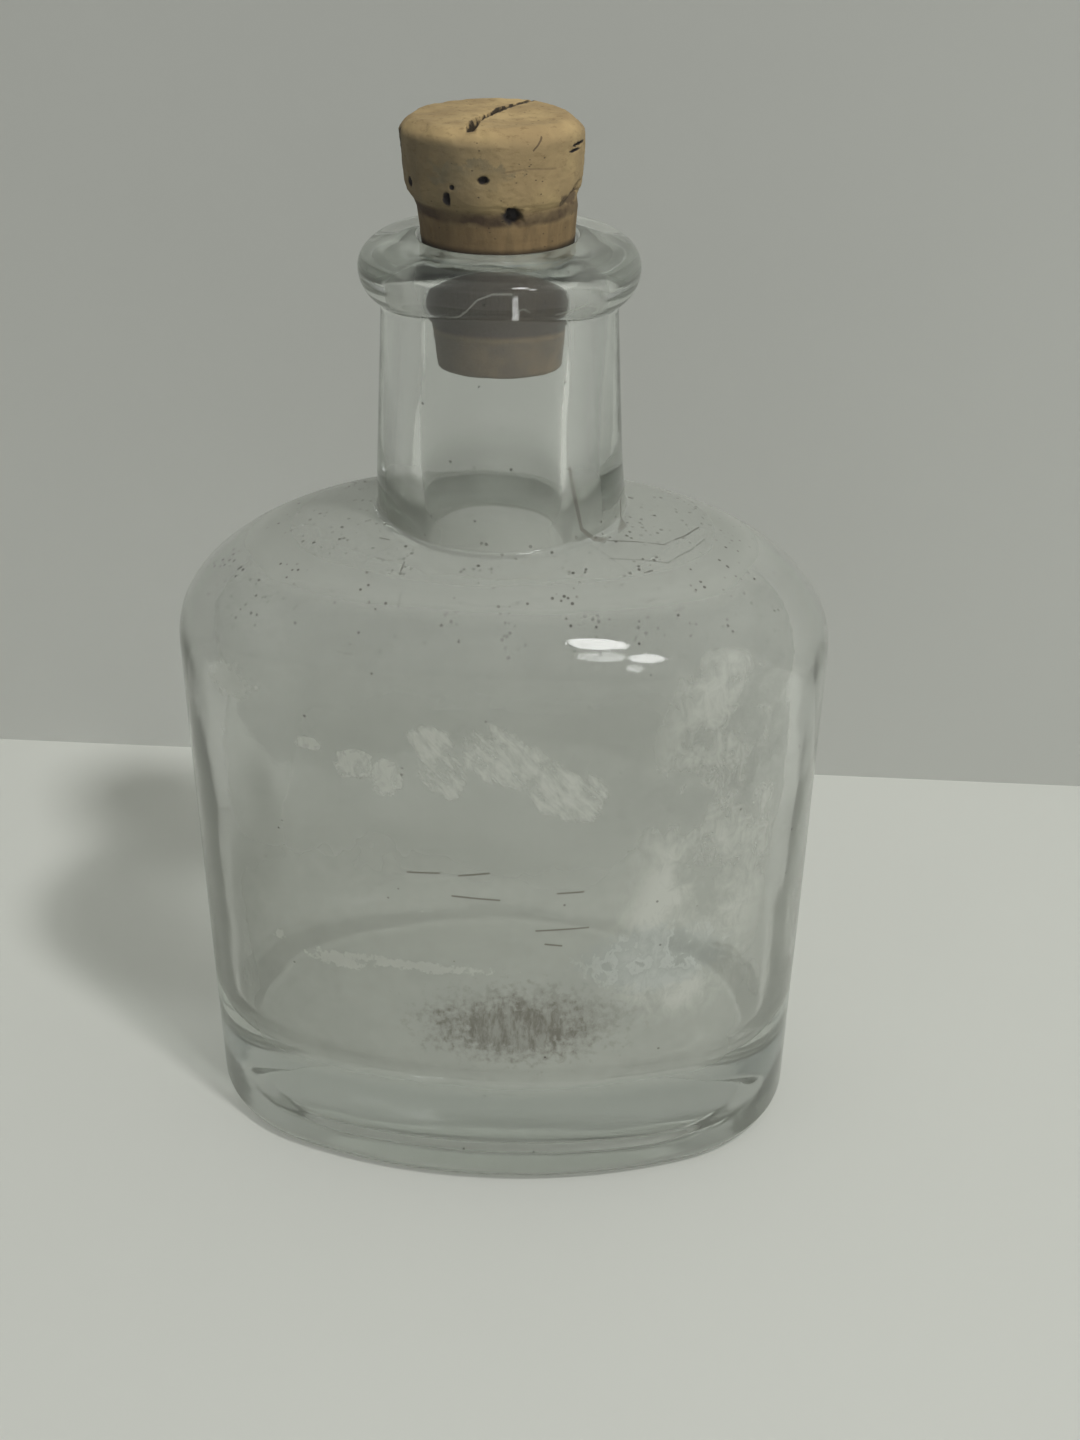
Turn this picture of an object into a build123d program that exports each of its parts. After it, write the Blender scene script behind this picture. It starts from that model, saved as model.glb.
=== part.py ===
from build123d import *

import math
import os

# A small empty oval flask of clear glass, with a tapered cork in its mouth.
# Millimetres, +Z up. The origin is the centre of the foot, on the surface that the flask stands on.
# X runs across the broad faces, and Y runs through them from the front face, at -Y, to the back.

# Outside of the body, an oval that widens a little from the foot to the shoulder
foot_width = 56.2
foot_depth = 36.4
body_width = 58.7
body_depth = 36.6
shoulder_top_z = 61.4
end_shoulder_drop = 13.4
face_shoulder_drop = 16.4
shoulder_cap_drop = 0.35
heel_radius = 1.8

# Neck and ring lip, turned about Z
glass_height = 84.5
neck_top_radius = 9.95
neck_spread = 0.9
neck_root_fillet = 0.9
lip_overhang = 1.75
lip_bulge_radius = 3.4
lip_widest_drop = 2.5
lip_edge_bevel = 0.35

# Thickness of the glass, which is greatest in the base
wall_at_ends = 2.9
wall_at_faces = 2.5
wall_at_shoulder = 2.8
base_thickness = 8.6
cavity_heel_radius = 3.5

# Shallow hollow under the foot, which leaves a flat ring to stand on
foot_ring_width = 7.5
foot_hollow_depth = 0.9
foot_hollow_slope = 1.6

# Bore: a conical seat for the cork, a straight neck and a flare into the body
mouth_radius = 6.5
mouth_bevel = 0.35
seat_narrowing = 0.45
seat_length = 4.5
flare_width = 2.6
flare_drop = 3.6

# Cork: a plug that the mouth squeezes, a step where the squeezing ends, and a wider head
cork_insertion = 10.4
cork_clearance = 0.05
cork_step_above_mouth = 3.1
cork_step_width = 0.15
cork_step_rise = 0.6
cork_head_spread = 0.8
cork_head_height = 6.1
cork_widest_drop = 2.4
cork_rim_radius = 1.4
cork_foot_bevel = 0.4

# Numbers without a length: how the outlines swell
end_radius_share = 0.86
end_swell_share = 2.3
face_swell_share = 2.3
side_step_shares = (1 / 3, 2 / 3, 1)
dome_step_shares = (0.25, 0.47, 0.66, 0.8)
dome_cap_shares = (0.8, 0.9, 1.0)
corner_step_shares = (0, 1 / 3, 2 / 3, 1)
lip_step_shares = (0, 1 / 5, 2 / 5, 3 / 5, 4 / 5, 1)

# One overrun serves all cuts, and one tolerance serves the search for edges
overrun = 2.0
edge_tolerance = 0.01

os.makedirs("parts", exist_ok=True)


def oval(half_width, half_depth, height):
    """A closed outline of four tangent arcs: two long ones for the faces, two short ones for the ends."""
    end_r = end_radius_share * half_depth
    end_x = half_width - end_r
    face_r = (end_x**2 + half_depth**2 - end_r**2) / (2 * (half_depth - end_r))
    face_y = face_r - half_depth
    reach = face_r / math.hypot(end_x, face_y)
    join_x, join_y = end_x * reach, face_y * (reach - 1)
    with BuildLine(Plane.XY.offset(height)) as outline:
        ThreePointArc((join_x, -join_y), (half_width, 0), (join_x, join_y))
        ThreePointArc((join_x, join_y), (0, half_depth), (-join_x, join_y))
        ThreePointArc((-join_x, join_y), (-half_width, 0), (-join_x, -join_y))
        ThreePointArc((-join_x, -join_y), (0, -half_depth), (join_x, -join_y))
    return make_face(outline.edges())


def swell(height, drop, top_z, power):
    """The share of its full size that a shoulder keeps at a height, along a quarter superellipse."""
    rise = max(0, 1 - (top_z - height) / drop)
    return (1 - rise**power) ** (1 / power)


def body_section(height, end_inset, face_inset, top_inset):
    """The body's oval at a height, drawn in by the insets for the cavity."""
    top_z = shoulder_top_z - top_inset
    up = min(height / (shoulder_top_z - end_shoulder_drop), 1)
    half_width = (foot_width + (body_width - foot_width) * up) / 2 - end_inset
    half_depth = (foot_depth + (body_depth - foot_depth) * up) / 2 - face_inset
    ends = swell(height, end_shoulder_drop - top_inset, top_z, end_swell_share)
    faces = swell(height, face_shoulder_drop - top_inset, top_z, face_swell_share)
    return oval(half_width * ends, half_depth * faces, height)


def corner_steps(radius):
    """Points along a quarter circle, each as how far it is drawn in and how far it has risen."""
    turns = [share * math.pi / 2 for share in corner_step_shares]
    return [(radius * (1 - math.sin(turn)), radius * (1 - math.cos(turn))) for turn in turns]


def oval_body(floor_z, corner_radius, end_inset, face_inset, top_inset, cap_is_smooth):
    """A rounded lower corner, tapered sides and shoulders in ruled bands, and the cap over them."""
    insets = (end_inset, face_inset, top_inset)
    side_z = floor_z + corner_radius
    start_z = shoulder_top_z - face_shoulder_drop
    rise = shoulder_top_z - top_inset - shoulder_cap_drop - start_z
    corner = [
        body_section(floor_z + up, end_inset + inward, face_inset + inward, top_inset)
        for inward, up in corner_steps(corner_radius)
    ]
    sides = [body_section(side_z + (start_z - side_z) * share, *insets) for share in side_step_shares]
    dome = [body_section(start_z + rise * share, *insets) for share in dome_step_shares]
    cap = [body_section(start_z + rise * share, *insets) for share in dome_cap_shares]
    return loft([*corner, *sides, *dome], ruled=True) + loft(cap, ruled=not cap_is_smooth)


def lip_crease_z():
    """The height at which the ring lip's bulge meets the neck."""
    bulge_rise = math.sqrt(lip_bulge_radius**2 - (lip_bulge_radius - lip_overhang) ** 2)
    return glass_height - lip_widest_drop - bulge_rise


def neck_root_z():
    """Where the neck's cone ends, inside the shoulder, in what the cavity cuts away."""
    return shoulder_top_z - end_shoulder_drop / 2


def neck_radius(height):
    """Radius of the neck, a cone that spreads from the lip down to the shoulder."""
    return neck_top_radius + neck_spread * (lip_crease_z() - height) / (lip_crease_z() - shoulder_top_z)


def neck_and_lip():
    """The neck cone and the ring lip, turned as one profile."""
    lip_radius = neck_top_radius + lip_overhang
    widest_z = glass_height - lip_widest_drop
    bevel_z = glass_height - lip_edge_bevel
    low = math.asin((lip_crease_z() - widest_z) / lip_bulge_radius)
    high = math.asin((bevel_z - widest_z) / lip_bulge_radius)
    turns = [low + (high - low) * share for share in lip_step_shares]
    lip = [
        (lip_radius - lip_bulge_radius * (1 - math.cos(turn)), widest_z + lip_bulge_radius * math.sin(turn))
        for turn in turns
    ]
    root_z = neck_root_z()
    rim_x, _ = lip[-1]
    profile = Polyline(
        (0, root_z),
        (neck_radius(root_z), root_z),
        *lip,
        (rim_x - lip_edge_bevel, glass_height),
        (0, glass_height),
        close=True,
    )
    return revolve(Plane.XZ * make_face(profile), Axis.Z)


def seat_radius(depth):
    """Radius of the mouth's conical seat at a depth below the top of the lip."""
    return mouth_radius - seat_narrowing * depth / seat_length


def bore():
    """The space inside the neck: bevelled mouth, conical seat, straight bore and flare."""
    top_z = glass_height + overrun
    mouth_x = seat_radius(mouth_bevel)
    bore_x = seat_radius(seat_length)
    flare_top_z = shoulder_top_z - shoulder_cap_drop
    flare_z = flare_top_z - flare_drop
    profile = Polyline(
        (0, top_z),
        (mouth_x + mouth_bevel + overrun, top_z),
        (mouth_x, glass_height - mouth_bevel),
        (bore_x, glass_height - seat_length),
        (bore_x, flare_top_z),
        (bore_x + flare_width, flare_z),
        (0, flare_z),
        close=True,
    )
    return revolve(Plane.XZ * make_face(profile), Axis.Z)


def cavity():
    """Everything inside the glass: the oval chamber with its rounded floor, and the bore."""
    insets = (wall_at_ends, wall_at_faces, wall_at_shoulder)
    chamber = oval_body(base_thickness, cavity_heel_radius, *insets, cap_is_smooth=False)
    return chamber + bore()


def foot_hollow():
    """The shallow hollow under the foot, with sloping sides."""
    half_width = foot_width / 2 - foot_ring_width
    half_depth = foot_depth / 2 - foot_ring_width
    mouth = oval(half_width, half_depth, 0)
    roof = oval(half_width - foot_hollow_slope, half_depth - foot_hollow_slope, foot_hollow_depth)
    return loft([mouth, roof], ruled=True)


def is_neck_root(edge):
    """Whether an edge is part of the crease where the neck stands on the shoulder."""
    middle = edge.position_at(0.5)
    on_neck = abs(math.hypot(middle.X, middle.Y) - neck_radius(middle.Z)) < edge_tolerance
    return on_neck and neck_root_z() < middle.Z < shoulder_top_z


def glass_bottle():
    """The flask: oval body, neck and ring lip in one piece of glass, hollow inside."""
    outside = oval_body(0, heel_radius, 0, 0, 0, cap_is_smooth=True) + neck_and_lip()
    outside = fillet(outside.edges().filter_by(is_neck_root), neck_root_fillet)
    return outside - foot_hollow() - cavity()


def cork_stopper():
    """The cork, turned as one profile: tapered plug, squeezed band, step and rounded head."""
    foot_z = glass_height - cork_insertion
    step_z = glass_height + cork_step_above_mouth
    head_z = step_z + cork_step_rise
    top_z = head_z + cork_head_height
    foot_x = seat_radius(cork_insertion) - cork_clearance
    bevel_x = seat_radius(cork_insertion - cork_foot_bevel) - cork_clearance
    step_x = seat_radius(-cork_step_above_mouth) - cork_clearance
    head_x = step_x + cork_step_width
    widest_x = head_x + cork_head_spread
    rim = [(widest_x - inward, top_z - up) for inward, up in corner_steps(cork_rim_radius)]
    profile = Polyline(
        (0, foot_z),
        (foot_x - cork_foot_bevel, foot_z),
        (bevel_x, foot_z + cork_foot_bevel),
        (step_x, step_z),
        (head_x, head_z),
        (widest_x, top_z - cork_widest_drop),
        *reversed(rim),
        (0, top_z),
        close=True,
    )
    return revolve(Plane.XZ * make_face(profile), Axis.Z)


export_step(glass_bottle(), "parts/glass_bottle.step")
export_step(cork_stopper(), "parts/cork_stopper.step")
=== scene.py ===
import math

import bpy
import numpy as np
from mathutils import Matrix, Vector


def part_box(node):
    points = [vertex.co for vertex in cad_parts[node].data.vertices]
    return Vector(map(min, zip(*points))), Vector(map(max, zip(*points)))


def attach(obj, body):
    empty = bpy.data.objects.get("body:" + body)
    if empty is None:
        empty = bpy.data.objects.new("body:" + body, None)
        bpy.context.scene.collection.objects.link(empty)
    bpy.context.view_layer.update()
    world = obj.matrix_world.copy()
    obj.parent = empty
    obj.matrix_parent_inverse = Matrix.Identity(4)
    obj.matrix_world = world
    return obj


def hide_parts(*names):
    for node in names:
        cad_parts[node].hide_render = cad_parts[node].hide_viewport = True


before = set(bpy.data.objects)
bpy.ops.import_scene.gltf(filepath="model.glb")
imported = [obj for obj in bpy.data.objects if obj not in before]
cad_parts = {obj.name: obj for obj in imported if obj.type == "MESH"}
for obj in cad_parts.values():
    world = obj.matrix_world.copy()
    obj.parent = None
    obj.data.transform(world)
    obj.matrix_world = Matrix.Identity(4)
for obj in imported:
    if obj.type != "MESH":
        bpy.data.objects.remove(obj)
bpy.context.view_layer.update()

# Everything is in metres. MM and DEG turn the sizes below into metres and radians.
MM = 0.001
DEG = math.pi / 180
TURN = 2 * math.pi
X, Y, Z = 0, 1, 2

# Camera, which stands where the photograph was taken from
CAMERA_LENS, CAMERA_SENSOR = 50.0, 36.0
CAMERA_REACH, CAMERA_HEIGHT = 164.3 * MM, 125.0 * MM
CAMERA_AROUND, CAMERA_TURN = 4.7 * DEG, 3.5 * DEG
CAMERA_DOWN, CAMERA_ROLL = 27.5 * DEG, 0.54 * DEG
CAMERA_PLACE = (
    CAMERA_REACH * math.sin(CAMERA_AROUND), -CAMERA_REACH * math.cos(CAMERA_AROUND), CAMERA_HEIGHT
)

# Floor, backdrop and lamps. One soft lamp casts the shadow, and the glass mirrors two low ones. Each has
# its angle round from the front, its angle up, its size and its power.
FLOOR_HALF, FLOOR_GAP = 1.5, 0.02 * MM
WALL_DISTANCE, WALL_TURN = 64.0 * MM, 0.6 * DEG
WALL_HALF, WALL_HEIGHT = 0.6, 0.45
# The paper darkens towards this share of its colour, a little at random and, as painted shade, higher up
# between these heights in millimetres. The backdrop's colour is the floor's painted darker, as painted
# shade.
PAPER_SHADE, PAPER_SHADE_Z = 0.84, (10.0, 130.0)
FLOOR_COLOUR, WALL_COLOUR = (0.74, 0.753, 0.70), (0.586, 0.596, 0.562)
KEY_AROUND, KEY_UP, KEY_SIZE, KEY_POWER = 43.0 * DEG, 55.5 * DEG, 0.09, 4.7
GLINTS = [(22.8 * DEG, 31.5 * DEG, (0.21, 0.18), 1.4), (31.4 * DEG, 18.5 * DEG, (0.13, 0.13), 0.55)]
LAMP_DISTANCE = 1.0
ROOM_LIGHT = (0.308, 0.311, 0.30)

# Outside of the flask, worked out from the frame
glass_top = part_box("glass_bottle")[1]
GLASS_HEIGHT = glass_top[Z]
BODY_HALF_WIDTH = glass_top[X] - 0.08 * MM
BODY_HALF_DEPTH = glass_top[Y] - 0.02 * MM
FOOT_NARROWING, FOOT_THINNING = 1.25 * MM, 0.1 * MM
SHOULDER_TOP = GLASS_HEIGHT - 23.1 * MM
END_DROP, FACE_DROP = 13.4 * MM, 16.4 * MM
END_POWER, FACE_POWER = 2.3, 3.2
END_RADIUS_SHARE = 0.86
HEEL_RADIUS = 1.8 * MM
HOLLOW_RING, HOLLOW_DEPTH, HOLLOW_SLOPE = 7.5 * MM, 0.9 * MM, 1.6 * MM
NECK_ROOT_RADIUS, NECK_TOP_RADIUS = 10.82 * MM, 9.95 * MM
ROOT_FILLET = 0.8 * MM
LIP_RADIUS, LIP_BULGE, LIP_WIDEST_DROP = 11.75 * MM, 3.4 * MM, 2.5 * MM
LIP_TOP_RADIUS, MOUTH_EDGE = 8.7 * MM, 0.45 * MM

# The ring lip rises towards the broad faces: its widest line by one share of the lift, the crease by both
LIP_LIFT, WIDEST_LIFT_SHARE, CREASE_LIFT_SHARE = 1.1 * MM, 0.7, 0.3

# Inside of the flask
END_WALL, FACE_WALL, SHOULDER_WALL = 2.9 * MM, 2.5 * MM, 2.8 * MM
CHAMBER_FLOOR, CHAMBER_HEEL, FLOOR_RISE = 9.2 * MM, 3.0 * MM, 0.3 * MM
CHAMBER_HALF_DEPTH, CHAMBER_POWER, CHAMBER_END_HEEL = 14.4 * MM, 3.0, 0.7
CHAMBER_SQUARE_TO, CHAMBER_OVAL_FROM = 11 * MM, 45 * MM
MOUTH_RADIUS, BORE_RADIUS, SEAT_LENGTH = 6.5 * MM, 6.05 * MM, 4.5 * MM
BORE_FILLET = 0.7 * MM

# How far the neck, the mouth and the bore lie off the axis, the heights between which each shift comes in,
# and the distances from the axis between which the shift of the mouth and the bore fades out
NECK_SHIFT, MOUTH_SHIFT, BORE_SHIFT = -0.25 * MM, -0.15 * MM, -0.48 * MM
NECK_ZONE, MOUTH_ZONE, BORE_ZONE = (59 * MM, 66 * MM), (70 * MM, 76 * MM), (55 * MM, 60 * MM)
SHIFT_FADES = (7.2 * MM, 9.6 * MM)

# Columns of the flask's grid, and its rows from the foot up the outside and down the inside again. The
# columns are spaced by measuring the oval in fine steps, and halving finds where a fillet touches.
FLASK_COLUMNS, FINE_STEPS, HALVINGS = 280, 4097, 40
HOLLOW_ROOF_ROWS, HOLLOW_SLOPE_ROWS, RING_ROWS, HEEL_ROWS, SIDE_ROWS = 8, 9, 7, 10, 46
SHOULDER_ROWS, ROOT_ROWS, NECK_ROWS, LIP_UNDER_ROWS, LIP_OVER_ROWS = 42, 12, 48, 13, 18
LIP_FLAT_ROWS, MOUTH_EDGE_ROWS, SEAT_ROWS, BORE_ROWS, FLARE_ROWS = 7, 7, 9, 15, 14
INNER_SHOULDER_ROWS, WALL_ROWS, INNER_HEEL_ROWS, FLOOR_ROWS = 34, 40, 13, 12

# Waves of the glass: height in millimetres, size, and seed of the random lattice, which has so many cells
# each way before it repeats
LATTICE_CELLS = 32
CHAMBER_WAVES = 0.16, (9 * MM, 9 * MM, 13 * MM), 3
CHAMBER_RIPPLES = 0.05, 4 * MM, 4
SKIN_WAVES = 0.035, (8 * MM, 8 * MM, 12 * MM), 5
END_RIPPLES = 0.03, (1.6 * MM, 1.6 * MM, 11 * MM), 6
FOLD_HEIGHT = 0.22

# Cork, worked out from the frame
cork_low, cork_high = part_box("cork_stopper")
CORK_FOOT, CORK_TOP = cork_low[Z], cork_high[Z]
CORK_RADIUS = cork_high[X] - 0.1 * MM
CORK_FOOT_RADIUS, CORK_MOUTH_RADIUS = 5.25 * MM, 6.36 * MM
CORK_STEP, CORK_STEP_RADIUS = GLASS_HEIGHT + 3.1 * MM, 6.72 * MM
CORK_HEAD_FOOT, CORK_HEAD_RADIUS = 0.5 * MM, 7.05 * MM
CORK_BEVEL, CORK_RIM, HEAD_SWELL_POWER = 0.4 * MM, 1.2 * MM, 0.45
CORK_SHIFT, CORK_HEAD_SHIFT, CORK_LEAN = -0.14 * MM, -0.25 * MM, 1.4 * DEG

# The split across the cork's top: the offset, slope and bow of its line, and where it starts at the front
SPLIT_BOW = (-0.15 * MM, 0.34, 29.8)
SPLIT_FRONT = (-6.6 * MM, -5.4 * MM)

# Columns and rows of the cork's grid, from the middle of its foot to the middle of its top
CORK_COLUMNS = 400
CORK_FOOT_ROWS, CORK_BEVEL_ROWS, PLUG_ROWS, BAND_ROWS, STEP_ROWS = 14, 5, 44, 20, 9
HEAD_ROWS, RIM_ROWS, CORK_TOP_ROWS = 38, 16, 52

# Random lattices of the cork: size, and seed. The wear's sizes are on a circle with a radius of 1.
BROAD_WEAR, FINE_WEAR = (0.45, 11), (0.2, 12)
BROAD_LUMPS, FINE_LUMPS, GRAIN = (2.6 * MM, 13), (1.1 * MM, 14), ((0.5 * MM, 0.5 * MM, 0.3 * MM), 15)
PIT_EDGE, SPLIT_EDGE, SPLIT_BED = (0.3 * MM, 16), (0.8 * MM, 17), (0.5 * MM, 18)


class Wire:
    """A socket of a material, with operators that add Math nodes."""

    def __init__(self, sheet, socket):
        self.sheet, self.socket = sheet, socket

    def maths(self, operation, *values):
        return self.sheet.add("ShaderNodeMath", {"operation": operation}, dict(enumerate(values)))

    def __add__(self, other):
        return self.maths("ADD", self, other)

    def __sub__(self, other):
        return self.maths("SUBTRACT", self, other)

    def __rsub__(self, other):
        return self.maths("SUBTRACT", other, self)

    def __mul__(self, other):
        return self.maths("MULTIPLY", self, other)

    def __truediv__(self, other):
        return self.maths("DIVIDE", self, other)

    def __pow__(self, other):
        return self.maths("POWER", self, other)

    def __abs__(self):
        return self.maths("ABSOLUTE", self)

    __radd__, __rmul__ = __add__, __mul__

    def most(self, other):
        return self.maths("MAXIMUM", self, other)

    def least(self, other):
        return self.maths("MINIMUM", self, other)

    def rise(self, low, high):
        """0 below low, 1 above high, and a smooth step between. With low above high it falls instead."""
        settings = {"interpolation_type": "SMOOTHSTEP"}
        return self.sheet.add("ShaderNodeMapRange", settings, {0: self, 1: low, 2: high, 3: 0.0, 4: 1.0})


class Finish:
    """A material under construction, with the place of each point in millimetres of the part's frame."""

    def __init__(self, name):
        self.material = bpy.data.materials.new(name)
        self.material.use_nodes = True
        self.tree = self.material.node_tree
        self.tree.nodes.clear()
        place = self.add("ShaderNodeTexCoord", output="Object")
        self.place = self.add("ShaderNodeVectorMath", {"operation": "SCALE"}, {0: place, "Scale": 1 / MM})
        self.x, self.y, self.z = (
            self.add("ShaderNodeSeparateXYZ", inputs={0: self.place}, output=axis) for axis in (X, Y, Z)
        )
        self.grit = self.noise(0.7, 3.0, 0.6)

    def add(self, kind, settings=None, inputs=None, output=0):
        """Any node: its type, its settings, the values or wires of its sockets, and the output to give."""
        node = self.tree.nodes.new(kind)
        for name, value in (settings or {}).items():
            setattr(node, name, value)
        for name, value in (inputs or {}).items():
            if isinstance(value, Wire):
                self.tree.links.new(value.socket, node.inputs[name])
            else:
                node.inputs[name].default_value = value
        return Wire(self, node.outputs[output]) if len(node.outputs) else node

    def colours(self, mask, low, high):
        """low where the mask is 0, and high where it is 1."""
        inputs = {0: mask, 6: self.solid(low), 7: self.solid(high)}
        return self.add("ShaderNodeMix", {"data_type": "RGBA"}, inputs, 2)

    def solid(self, colour):
        return colour if isinstance(colour, Wire) else (*colour, 1.0)

    def stretched(self, along_x, along_y, along_z):
        """The place, with each axis multiplied, so that a pattern on it is drawn out."""
        factors = (along_x, along_y, along_z)
        return self.add("ShaderNodeVectorMath", {"operation": "MULTIPLY"}, {0: self.place, 1: factors})

    def noise(self, size, detail=2.0, roughness=0.5, distortion=0.0, place=None):
        """Soft noise with features of a size in millimetres, from 0 to 1 about a middle of 0.5."""
        values = {"Scale": 1 / size, "Detail": detail, "Roughness": roughness, "Distortion": distortion}
        return self.add("ShaderNodeTexNoise", inputs={"Vector": place or self.place, **values})

    def cells(self, size, place=None):
        """The distance from the nearest of the scattered points, in cell sizes."""
        values = {"Vector": place or self.place, "Scale": 1 / size}
        return self.add("ShaderNodeTexVoronoi", {"feature": "F1"}, values)

    def arc(self, radius, shift=0.0):
        """How far round a turned surface a point lies from the front, in millimetres, towards +X."""
        return (self.x - shift).maths("ARCTAN2", self.x - shift, 0 - self.y) * radius

    def spot(self, across, up, middle, half_size, ragged=0.35):
        """1 inside an ellipse on two coordinates and 0 outside, with an edge that noise makes ragged."""
        aside, above = (across - middle[0]) / half_size[0], (up - middle[1]) / half_size[1]
        reach = (aside * aside + above * above) ** 0.5 + ragged * 2 * (self.grit - 0.5)
        return reach.rise(1.15, 0.7)

    def stroke(self, across, up, points, width):
        """1 on the line through the points and 0 beyond its width, on two coordinates."""
        nearest = None
        for (x, y), (next_x, next_y) in zip(points, points[1:]):
            run, climb = next_x - x, next_y - y
            share = ((across - x) * run + (up - y) * climb) / (run * run + climb * climb)
            share = share.most(0.0).least(1.0)
            aside, above = across - x - share * run, up - y - share * climb
            gap = (aside * aside + above * above) ** 0.5
            nearest = gap if nearest is None else nearest.least(gap)
        return nearest.rise(width, 0.4 * width)

    def strokes(self, across, up, lines, width):
        """1 on any of the lines."""
        mark = self.stroke(across, up, lines[0], width)
        for line in lines[1:]:
            mark = mark.most(self.stroke(across, up, line, width))
        return mark

    def bump(self, height, strength, distance):
        values = {"Strength": strength, "Distance": distance, "Height": height}
        return self.add("ShaderNodeBump", inputs=values)

    def shader(self, **values):
        """A Principled shader. An underscore in a name stands for a space of the socket's name."""
        inputs = {name.replace("_", " "): value for name, value in values.items()}
        return self.add("ShaderNodeBsdfPrincipled", inputs=inputs)

    def mix(self, factor, low, high):
        return self.add("ShaderNodeMixShader", inputs={0: factor, 1: low, 2: high})

    def done(self, surface, volume=None):
        inputs = {"Surface": surface} if volume is None else {"Surface": surface, "Volume": volume}
        self.add("ShaderNodeOutputMaterial", inputs=inputs)
        return self.material


def ease(values, low, high):
    """0 below low, 1 above high, and a smooth step between."""
    share = np.clip((values - low) / (high - low), 0, 1)
    return share * share * (3 - 2 * share)


def steps(count, start=0.0, end=1.0):
    """Evenly spaced shares as a column, for rows."""
    return np.linspace(start, end, count)[:, None]


def cloud(points, size, seed):
    """Smooth noise from -1 to 1: random values on a cubic lattice, blended across each cell."""
    table = np.random.default_rng(seed).uniform(-1, 1, (LATTICE_CELLS,) * 3)
    scaled = points / np.asarray(size)
    cell = np.floor(scaled).astype(int)
    share = scaled - cell
    share = share**3 * (share * (6 * share - 15) + 10)
    total = np.zeros(points.shape[:-1])
    for corner in np.ndindex(2, 2, 2):
        weights = np.where(corner, share, 1 - share).prod(-1)
        total += weights * table[tuple(np.moveaxis((cell + corner) % LATTICE_CELLS, -1, 0))]
    return total


def grid_normals(points):
    """Outward normals of a closed grid of rings, from the steps between neighbouring rows and columns."""
    around = np.roll(points, -1, 1) - np.roll(points, 1, 1)
    along = np.gradient(points, axis=0)
    normals = np.cross(around, along)
    return normals / np.maximum(np.linalg.norm(normals, axis=-1, keepdims=True), 1e-12)


def closed_piece(name, points, first_pole, last_pole, body, node, slot):
    """A mesh from a grid of rings, each joined to the next, with a fan of triangles at each end."""
    rows, columns, _ = points.shape
    index = np.arange(rows * columns).reshape(rows, columns)
    after = np.roll(index, -1, 1)
    quads = np.stack([index[:-1], after[:-1], after[1:], index[1:]], -1).reshape(-1, 4)
    first, last = rows * columns, rows * columns + 1
    fan_first = np.stack([np.full(columns, first), after[0], index[0]], -1)
    fan_last = np.stack([np.full(columns, last), index[-1], after[-1]], -1)
    vertices = np.concatenate([points.reshape(-1, 3), [first_pole, last_pole]])
    mesh = bpy.data.meshes.new(name)
    mesh.from_pydata(vertices, [], [*quads.tolist(), *fan_first.tolist(), *fan_last.tolist()])
    mesh.polygons.foreach_set("use_smooth", np.ones(len(mesh.polygons), bool))
    mesh.update()
    piece = bpy.data.objects.new(name, mesh)
    bpy.context.scene.collection.objects.link(piece)
    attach(piece, body)
    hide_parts(node)
    return piece


def oval(half_width, half_depth, turn):
    """Four tangent arcs, by the angle of the outward normal: the centre of the arc that the normal belongs
    to, plus the arc's radius along the normal."""
    end_r = END_RADIUS_SHARE * half_depth
    end_x = half_width - end_r
    face_r = (end_x**2 + half_depth**2 - end_r**2) / (2 * (half_depth - end_r))
    face_y = face_r - half_depth
    across, through = np.cos(turn), np.sin(turn)
    on_end = np.arctan2(abs(through), abs(across)) < np.arctan2(face_y, end_x)
    x = np.where(on_end, np.sign(across) * end_x + end_r * across, face_r * across)
    y = np.where(on_end, end_r * through, face_r * through - np.sign(through) * face_y)
    return x, y


def oval_turns(count):
    """Normal angles of the columns, spaced half by angle and half by length along the body's oval."""
    fine = np.linspace(0, TURN, FINE_STEPS)
    x, y = oval(BODY_HALF_WIDTH, BODY_HALF_DEPTH, fine)
    length = np.concatenate([[0], np.cumsum(np.hypot(np.diff(x), np.diff(y)))])
    measure = (length / length[-1] + fine / TURN) / 2
    return np.interp(np.arange(count) / count, measure, fine)


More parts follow.
